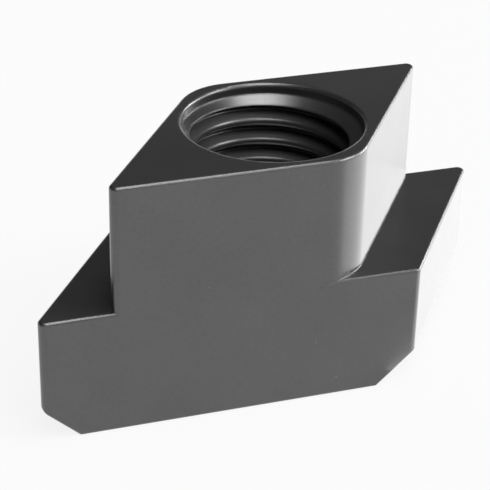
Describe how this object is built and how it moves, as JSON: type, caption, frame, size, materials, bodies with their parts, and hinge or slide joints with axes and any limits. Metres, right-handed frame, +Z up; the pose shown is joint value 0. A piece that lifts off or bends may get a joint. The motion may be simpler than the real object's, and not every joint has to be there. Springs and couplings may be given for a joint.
{
  "type": "rhombic t-slot nut",
  "caption": "Rhombic T-slot nut: a neck that stands in the slot, a wider base with chamfered feet that grips under its lips, and a tapped hole, recessed at both ends, for a clamping stud.",
  "frame": {"origin": "on the thread's axis, on the underside", "axes": "+Z up along the thread, +Y along the slot, +X across the slot, towards the base's right flange"},
  "size_m": [0.0436, 0.0626, 0.036],
  "materials": {
    "blackened_steel": "satin black oxide"
  },
  "bodies": {
    "root": {"t_slot_nut": "blackened_steel"}
  },
  "joints": []
}
